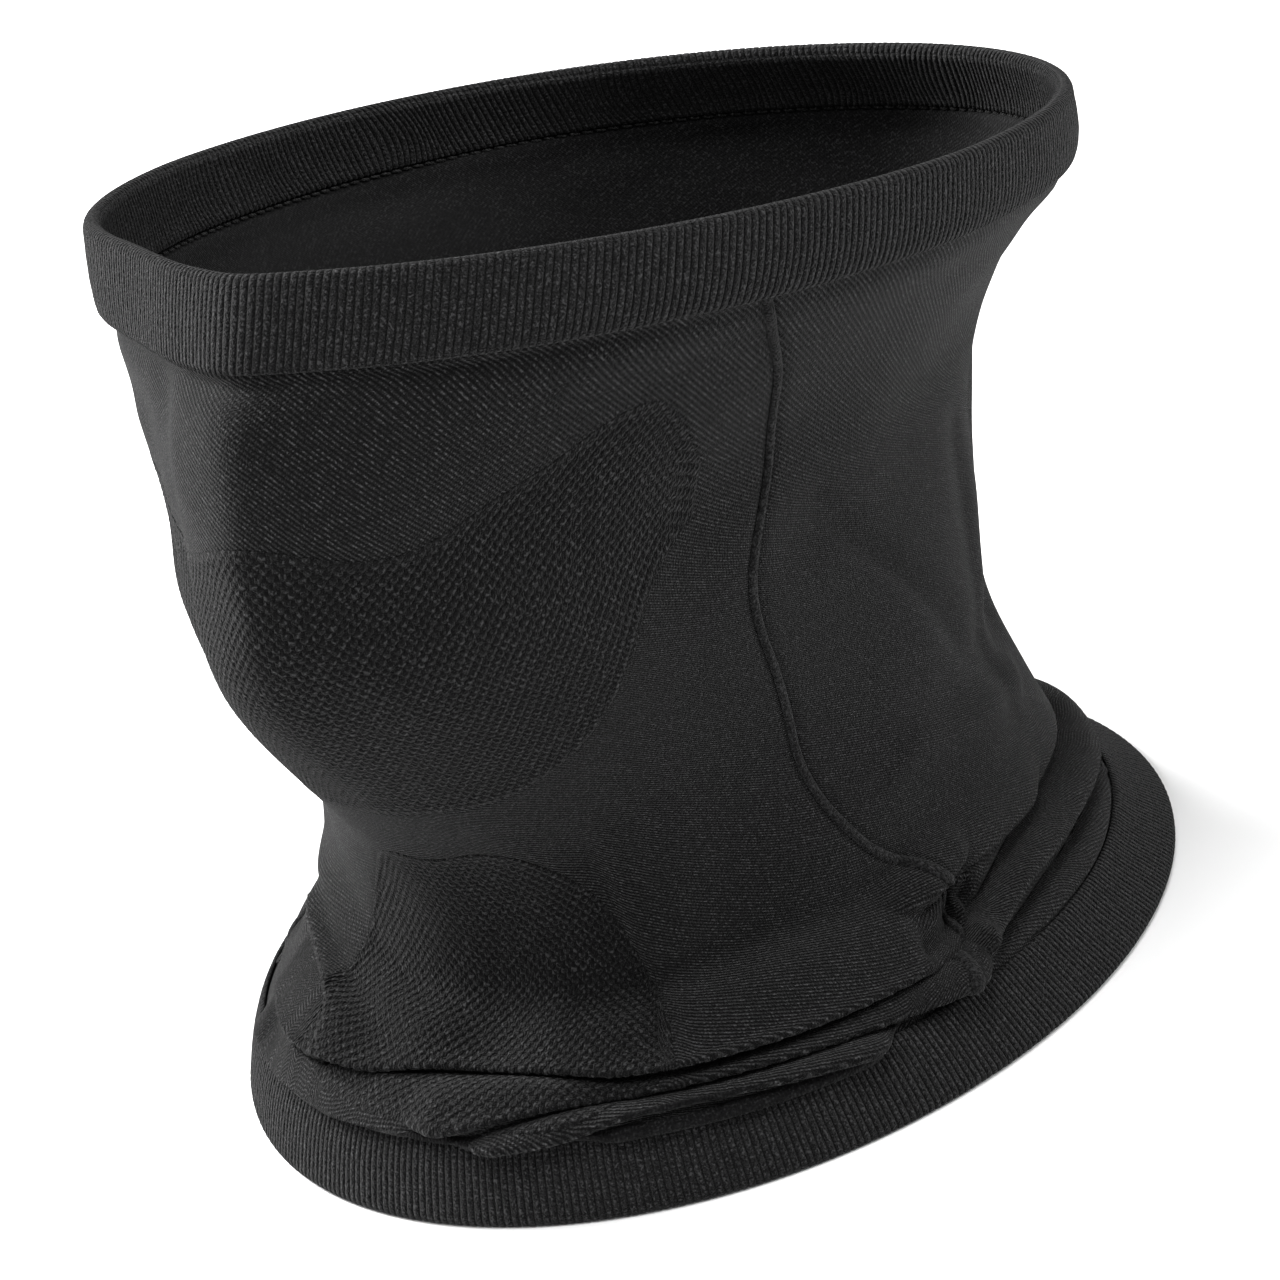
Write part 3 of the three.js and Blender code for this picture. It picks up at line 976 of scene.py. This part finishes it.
@dataclass(frozen=True)
class Vent:
    """An open-knit zone let into the front panel, the same on both sides of the middle.

    Attributes:
        reach: Degrees from the front to its ends.
        top: Its top edge, as (degrees from the front, level).
        bottom: Its bottom edge.
    """

    reach: float
    top: Points
    bottom: Points

    def edges(self, turn: Array) -> tuple[Array, Array]:
        """Levels of the bottom and top edge at a turn."""
        away = np.minimum(np.abs(turn), self.reach)
        return through(both_sides(self.bottom), away), through(both_sides(self.top), away)

    def depth(self, turn: Array, level: Array) -> Array:
        """Rough distance in millimetres in from the nearest edge; negative outside."""
        around, up = TUBE.scales(turn, level)
        low, high = self.edges(turn)
        side = (self.reach - np.abs(turn)) * around
        return np.minimum(np.minimum((level - low) * up, (high - level) * up), side)


@dataclass
class Body:
    """The body of the tube: panels, vents, side seams and the threads behind the seams.

    Attributes:
        half: Half of the thickness of the body knit.
        spacing: Distance between grid columns.
        line_pitch: Height between twill lines.
        vent_lap: How far a panel goes on under the edge of a vent, measured up the fabric.
        bead_pitch: Length of one stitch along a line.
        loop_width: Distance between a vent's loops in a row.
        loop_height: Distance between a vent's loops in a column.
        seam_width: Width of a side seam's ridge.
        seam_height: Height of a side seam's ridge.
        seam_twist: Length of one turn of a seam ridge's twist.
        seam_path: Degrees round the tube to a side seam, by level.
        seam_gap: Space between a panel's edge and the middle of a side seam.
        overlock_width: Width of the overlock threads behind a side seam.
        overlock_pitch: Length of one zigzag of them.
        face_vent: The open knit over the nose and mouth.
        throat_vent: The open knit at the throat.
        front_rows: Grid rows of the front panel: levels, each with its rows up to the next.
        back_rows: The same for the back panel.
        pieces: The finished pieces.
    """

    half: float = 0.45
    spacing: float = 0.84
    line_pitch: float = 0.7
    vent_lap: float = 2.2
    bead_pitch: float = 0.55
    loop_width: float = 1.8
    loop_height: float = 2.05
    seam_width: float = 1.5
    seam_height: float = 0.62
    seam_twist: float = 1.25
    seam_path: Points = (
        (0, 66), (1, 66), (2, 78), (3, 66), (3.8, 59.5), (4.5, 64), (5.5, 72), (6.5, 70), (8, 60), (9, 59),
    )
    seam_gap: float = 0.12
    overlock_width: float = 1.7
    overlock_pitch: float = 2.2
    face_vent: Vent = Vent(
        62,
        ((0, 6.3), (22, 6.1), (40, 6.5), (53, 6.85), (62, 6.1)),
        ((0, 4.4), (25, 4.4), (48, 4.8), (62, 5.6)),
    )
    throat_vent: Vent = Vent(
        32,
        ((0, 4.05), (14, 4.0), (25, 3.4), (32, 2.3)),
        ((0, 1.25), (18, 1.3), (27, 1.5), (32, 1.9)),
    )
    front_rows: Points = (
        (0.7, 4), (1.0, 50), (2.0, 36), (3.0, 24), (4.0, 34), (5.0, 24), (6.0, 36), (8.0, 4), (8.3, 0),
    )
    back_rows: Points = (
        (0.7, 4), (1.0, 52), (2.0, 36), (3.0, 22), (4.0, 22), (5.0, 16), (6.0, 18), (8.0, 4), (8.3, 0),
    )
    pieces: list[bpy.types.Object] = field(default_factory=list)

    def wale(self, turn: Array) -> Array:
        """Distance round the tube in millimetres, counted where the fabric is least stretched."""
        slack_level = 6.0
        dense = np.linspace(-180, 360, 2161)
        length = travelled(TUBE.point(dense, slack_level))
        return np.interp(turn, dense, length - np.interp(0, dense, length))

    def seam(self, level: Array) -> Array:
        """Degrees from the front to the side seam."""
        return through(self.seam_path, level)

    def span(self, level: Array, width: Array) -> Array:
        """Degrees that cover a width measured square to the side seam."""
        around, up = TUBE.scales(self.seam(level), level)
        step = 0.02
        lean = (self.seam(level + step) - self.seam(level - step)) / (2 * step)
        return width * np.hypot(1, lean * around / up) / around

    def twill(self, middle: Array, turn: Array) -> Array:
        """Weave coordinates of the twill face.

        The lines run down towards the wearer's left, steeply near the rim and nearly level at the
        throat, so line = (fall - slope * wale) / pitch, with fall measured down the fabric.
        """
        climbed = travelled(middle)
        fall = climbed[-1:] - climbed
        wale = self.wale(turn)
        slope = through(((0, 0.8), (45, 0.74), (85, 0.36), (130, 0.16), (220, 0.12)), fall)
        line = (fall - slope * wale) / (self.line_pitch * np.sqrt(1 + slope**2))
        bead = (wale + slope * fall) / self.bead_pitch
        return np.stack([line, bead], axis=-1)

    def panel(
        self, name: str, turn: Array, level: Array, vents: tuple[Vent, ...], finishes: Finishes
    ) -> None:
        """Makes one panel and keeps it in pieces.

        Args:
            name: Piece name.
            turn: Grid of turns, from one side seam to the other.
            level: Levels of its rows.
            vents: The vents cut out of it.
            finishes: The materials.
        """
        seam = self.seam(level)
        level = np.broadcast_to(level, turn.shape)
        middle = TUBE.folded(turn, level)
        edge = np.abs(np.abs(wrap(turn)) - seam) * TUBE.scales(turn, level)[0]
        groove_depth, groove_width, vent_recess = 0.7, 1.25, 0.5
        groove = groove_depth * np.exp(-((edge / groove_width) ** 2))
        outer = self.half - groove * between((1.0, 1.2), (7.9, 8.0), level)
        keep = np.ones((turn.shape[0] - 1, turn.shape[1] - 1), bool)
        for vent in vents:
            depth = vent.depth(turn, level)
            outer -= vent_recess * smooth_step(0.0, 1.0, depth)
            keep &= depth[:-1, :-1] < self.vent_lap
        sheet = Sheet(middle, outer, -self.half, self.twill(middle, turn), keep)
        self.pieces.append(sheet.build(name, finishes.twill, finishes.lining))

    def front(self, finishes: Finishes) -> None:
        """Front panel, from seam to seam, with an opening for each vent."""
        width = 150
        level = spread(self.front_rows)[:, None]
        reach = self.seam(level) - self.span(level, self.seam_gap)
        turn = np.linspace(-1, 1, round(width / self.spacing) + 1) * reach
        self.panel("gaiter_front", turn, level, (self.face_vent, self.throat_vent), finishes)

    def back(self, finishes: Finishes) -> None:
        """Back panel, from the left seam round the nape to the right seam."""
        width, coarser = 270, 1.2
        level = spread(self.back_rows)[:, None]
        reach = self.seam(level) + self.span(level, self.seam_gap)
        share = np.linspace(0, 1, round(width / (self.spacing * coarser)) + 1)
        turn = reach + (360 - 2 * reach) * share
        self.panel("gaiter_back", turn, level, (), finishes)

    def vent(self, name: str, vent: Vent, columns: int, rows: int, finishes: Finishes) -> None:
        """Makes one vent and keeps it in pieces.

        Its loops stand out and its holes sink where two cosines multiply to 1 and -1. Loops are
        counted up from the row of the grid that lies level with the middle of the vent.

        Args:
            name: Piece name.
            vent: Its edges.
            columns: Grid columns.
            rows: Grid rows.
            finishes: The materials.
        """
        turn = np.broadcast_to(np.linspace(-vent.reach, vent.reach, columns), (rows, columns))
        low, high = vent.edges(turn)
        level = low + (high - low) * np.linspace(0, 1, rows)[:, None]
        middle = TUBE.folded(turn, level)
        climbed = travelled(middle)
        base = np.abs(level - level[rows // 2, columns // 2]).argmin(axis=0)
        climbed -= climbed[base, np.arange(columns)]
        u, v = 2 * self.wale(turn) / self.loop_width, 2 * climbed / self.loop_height
        loops = np.cos(np.pi * u) * np.cos(np.pi * v)
        depth = vent.depth(turn, level)
        relief = (0.1 * loops - 0.14 * np.maximum(0, -loops) ** 1.5) * smooth_step(0.6, 2.0, depth)
        face = 0.5 - 0.12 * smooth_step(1.0, 2.6, depth)
        sheet = Sheet(middle, face + relief, -0.34 + 0.4 * relief, np.stack([u, v], axis=-1))
        self.pieces.append(sheet.build(name, finishes.vent, finishes.vent))

    def strip(self, side: int, width: float, ends: float) -> tuple[Sheet, Array, Array]:
        """Sheet along a side seam, with no thickness yet.

        Args:
            side: 1 for the wearer's left and -1 for the right.
            width: Width of the strip.
            ends: Levels that it stops short of the bands.

        Returns:
            The sheet, the place of its columns across it from -1 to 1, and the distance of its
            rows along it.
        """
        rows, columns = 420, 9
        level = np.linspace(TUBE.cuff_top + ends, TUBE.band_low - ends, rows)[:, None]
        across = np.sin(np.linspace(-1, 1, columns) * np.pi / 2)[None, :]
        turn = side * self.seam(level) + self.span(level, width / 2) * across
        middle = TUBE.folded(turn, level)
        along = travelled(middle).mean(axis=1)[:, None]
        weave = np.stack(np.broadcast_arrays(across * 0.5, along / self.seam_twist), axis=-1)
        return Sheet(middle, 0.0, 0.0, weave), across, along

    def seams(self, finishes: Finishes) -> None:
        """Makes the raised ridges of the two side seams, and the overlock threads behind them."""
        for name, side in (("left", 1), ("right", -1)):
            ridge, across, along = self.strip(side, self.seam_width, 0.02)
            twist = 0.025 * np.cos(math.tau * (along / self.seam_twist + across))
            ridge.outer = 0.2 + self.seam_height * np.sqrt(1 - 0.96 * across**2) + twist
            ridge.inner = 0.12
            self.pieces.append(ridge.build(f"gaiter_{name}_seam", finishes.seam, finishes.seam))
            threads, across, along = self.strip(side, self.overlock_width, 0.05)
            zigzag = 0.22 * np.cos(math.tau * (along / self.overlock_pitch + 0.25 * across))
            threads.outer, threads.inner = -0.52, -0.85 - zigzag
            self.pieces.append(threads.build(f"gaiter_{name}_overlock", finishes.thread, finishes.thread))

    def build(self, finishes: Finishes) -> None:
        """Makes every piece of the body."""
        self.front(finishes)
        self.back(finishes)
        self.vent("gaiter_face_vent", self.face_vent, 290, 136, finishes)
        self.vent("gaiter_throat_vent", self.throat_vent, 150, 150, finishes)
        self.seams(finishes)


# ---------------------------------------------------------------- studio


def place_light(lamp: bpy.types.Light, place: Triple, target: Triple) -> None:
    """Stands a light at a place and turns it to a target."""
    made = bpy.data.objects.new(lamp.name, lamp)
    made.location = place
    made.rotation_euler = (Vector(target) - Vector(place)).to_track_quat("-Z", "Y").to_euler()
    bpy.context.scene.collection.objects.link(made)


@dataclass(frozen=True)
class Sky:
    """A wide soft light from one side, the same everywhere on the floor.

    Attributes:
        name: Object name.
        place: A point that it shines from, in metres; only the direction matters.
        spread: Degrees that it is wide.
        strength: Watts on a square metre.
    """

    name: str
    place: Triple
    spread: float
    strength: float

    def build(self, target: Triple) -> None:
        """Makes the light and turns it to the target."""
        lamp = bpy.data.lights.new(self.name, "SUN")
        lamp.energy, lamp.angle = self.strength, math.radians(self.spread)
        place_light(lamp, self.place, target)


@dataclass(frozen=True)
class Softbox:
    """A square area light that faces a point.

    Attributes:
        name: Object name.
        place: Where it stands, in metres.
        size: Side of the square.
        power: Watts.
    """

    name: str
    place: Triple
    size: float
    power: float

    def build(self, target: Triple) -> None:
        """Makes the light and turns it to the target."""
        lamp = bpy.data.lights.new(self.name, "AREA")
        lamp.energy, lamp.size = self.power, self.size
        place_light(lamp, self.place, target)


@dataclass(frozen=True)
class Studio:
    """Pale floor, soft lights and the camera.

    Attributes:
        target: Point at the middle of the view, in metres.
        azimuth: Degrees that the camera stands round from the wearer's front, to the left.
        elevation: Degrees above the floor.
        roll: Degrees that the camera leans.
        distance: Metres to the target.
        lens: Focal length for the sensor.
        sensor: Width of the sensor, in millimetres.
        world_strength: Strength of the even white light from all round.
        floor_half: Half of the floor's width, in millimetres.
        lights: The sky and the lamps.
    """

    target: Triple = (0.001, -0.0067, 0.0605)
    azimuth: float = 32.4
    elevation: float = 22.7
    roll: float = -11.8
    distance: float = 0.9
    lens: float = 152.0
    sensor: float = 36.0
    world_strength: float = 0.14
    floor_half: float = 4000.0
    lights: tuple[Sky | Softbox, ...] = (
        Sky("overhead", (-0.05, -0.42, 1.4), 45.0, 3.4),
        Softbox("right_cheek_light", (-0.95, 0.05, 0.64), 0.45, 27.0),
        Softbox("left_cheek_light", (0.95, 0.8, 0.55), 0.6, 11.5),
        Softbox("front_fill", (0.5, -1.1, 0.8), 0.9, 3.2),
    )

    def camera(self) -> None:
        """Makes the camera and the scene's view of it."""
        azimuth, elevation, roll = (math.radians(x) for x in (self.azimuth, self.elevation, self.roll))
        reach, rise = math.cos(elevation), math.sin(elevation)
        back = Vector((math.sin(azimuth) * reach, -math.cos(azimuth) * reach, rise))
        level_right = Vector((math.cos(azimuth), math.sin(azimuth), 0))
        level_up = back.cross(level_right)
        right = level_right * math.cos(roll) + level_up * math.sin(roll)
        up = level_up * math.cos(roll) - level_right * math.sin(roll)
        data = bpy.data.cameras.new("camera")
        data.lens, data.sensor_width = self.lens, self.sensor
        data.clip_start, data.clip_end = 0.05, 30.0
        made = bpy.data.objects.new("camera", data)
        turn = Matrix((right, up, back)).transposed().to_4x4()
        made.matrix_world = Matrix.Translation(Vector(self.target) + back * self.distance) @ turn
        bpy.context.scene.collection.objects.link(made)
        bpy.context.scene.camera = made

    def build(self) -> None:
        """Makes the camera, the lights, the world and the floor."""
        self.camera()
        for light in self.lights:
            light.build(self.target)
        world = bpy.data.worlds.new("studio")
        world.use_nodes = True
        background = world.node_tree.nodes["Background"]
        background.inputs[0].default_value = (1.0, 1.0, 1.0, 1.0)
        background.inputs[1].default_value = self.world_strength
        bpy.context.scene.world = world
        bpy.context.scene.view_settings.view_transform = "Standard"
        shader = Shader("studio_floor", 0.9)
        finish = shader.finish(shader.colour(shader.noise(3.0), (0.9, 0.9, 0.9), (0.92, 0.92, 0.92)))
        square = np.array([(0, 0), (1, 0), (1, 1), (0, 1)], float)
        corners = np.column_stack([(square * 2 - 1) * self.floor_half, np.zeros(4)])
        floor = make_object("floor", corners, np.arange(4)[None], square[None], [finish])


# ---------------------------------------------------------------- assembly


class Gaiter:
    """The whole gaiter: makes every piece and fastens it to the frame."""

    REPLACED = {
        "gaiter_front": "front_panel",
        "gaiter_back": "back_panel",
        "gaiter_face_vent": "face_mesh_panel",
        "gaiter_throat_vent": "throat_mesh_panel",
        "gaiter_left_seam": "left_side_seam",
        "gaiter_right_seam": "right_side_seam",
        "gaiter_left_overlock": "left_seam_thread",
        "gaiter_right_overlock": "right_seam_thread",
        "gaiter_top_band": "top_band",
        "gaiter_top_elastic": "top_band_elastic",
        "gaiter_top_stitch": "top_band_stitch",
        "gaiter_bottom_band": "bottom_band",
        "gaiter_bottom_elastic": "bottom_band_elastic",
        "gaiter_bottom_stitch": "bottom_band_stitch",
    }
    SLOTS = {
        "gaiter_front": "body_knit",
        "gaiter_back": "body_knit",
        "gaiter_face_vent": "vent_knit",
        "gaiter_throat_vent": "vent_knit",
        "gaiter_left_seam": "seam",
        "gaiter_right_seam": "seam",
        "gaiter_left_overlock": "thread",
        "gaiter_right_overlock": "thread",
        "gaiter_top_band": "rib_knit",
        "gaiter_top_elastic": "elastic",
        "gaiter_top_stitch": "thread",
        "gaiter_bottom_band": "rib_knit",
        "gaiter_bottom_elastic": "elastic",
        "gaiter_bottom_stitch": "thread",
    }

    def __init__(self) -> None:
        """Makes the finishes and the pieces."""
        finishes = Finishes()
        body = Body()
        body.build(finishes)
        rim_parts = (
            Band("gaiter_top_band", TUBE.band_low, TUBE.rim, True),
            Elastic("gaiter_top_elastic", TUBE.band_low, TUBE.rim),
            ChainStitch("gaiter_top_stitch", TUBE.band_low - 0.015),
        )
        hem_parts = (
            Band("gaiter_bottom_band", TUBE.hem, TUBE.cuff_top, False),
            Elastic("gaiter_bottom_elastic", TUBE.cuff_top, TUBE.hem),
            ChainStitch("gaiter_bottom_stitch", TUBE.cuff_top + 0.015),
        )
        self.tube = body.pieces
        self.rim = [part.build(finishes) for part in rim_parts]
        self.hem = [part.build(finishes) for part in hem_parts]

    def fasten(self) -> None:
        """Bakes the body pieces where they stand, fastens the rim pieces to the rim and the hem pieces to the
        tube, and hides the part that each piece replaces.
        """
        front, back = (TUBE.point(turn, TUBE.band_low) for turn in (0.0, 180.0))
        for piece in self.tube:
            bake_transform(piece)
        for piece in self.rim:
            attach(piece, "rim")
        for piece in self.hem:
            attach(piece, "tube")
        for piece in (*self.tube, *self.rim, *self.hem):
            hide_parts(self.REPLACED[piece.name])

    def declare(self) -> None:
        """Logs the number of faces of each piece."""
        by_name = {piece.name: piece for piece in (*self.tube, *self.rim, *self.hem)}
        for piece in by_name.values():
            LOG.info("%s: %d faces", piece.name, len(piece.data.polygons))


def main() -> None:
    """Builds the studio and the gaiter."""
    logging.basicConfig(level=logging.INFO, format="%(name)s %(message)s")
    Studio().build()
    gaiter = Gaiter()
    gaiter.fasten()
    gaiter.declare()


if __name__ == "__main__":
    main()
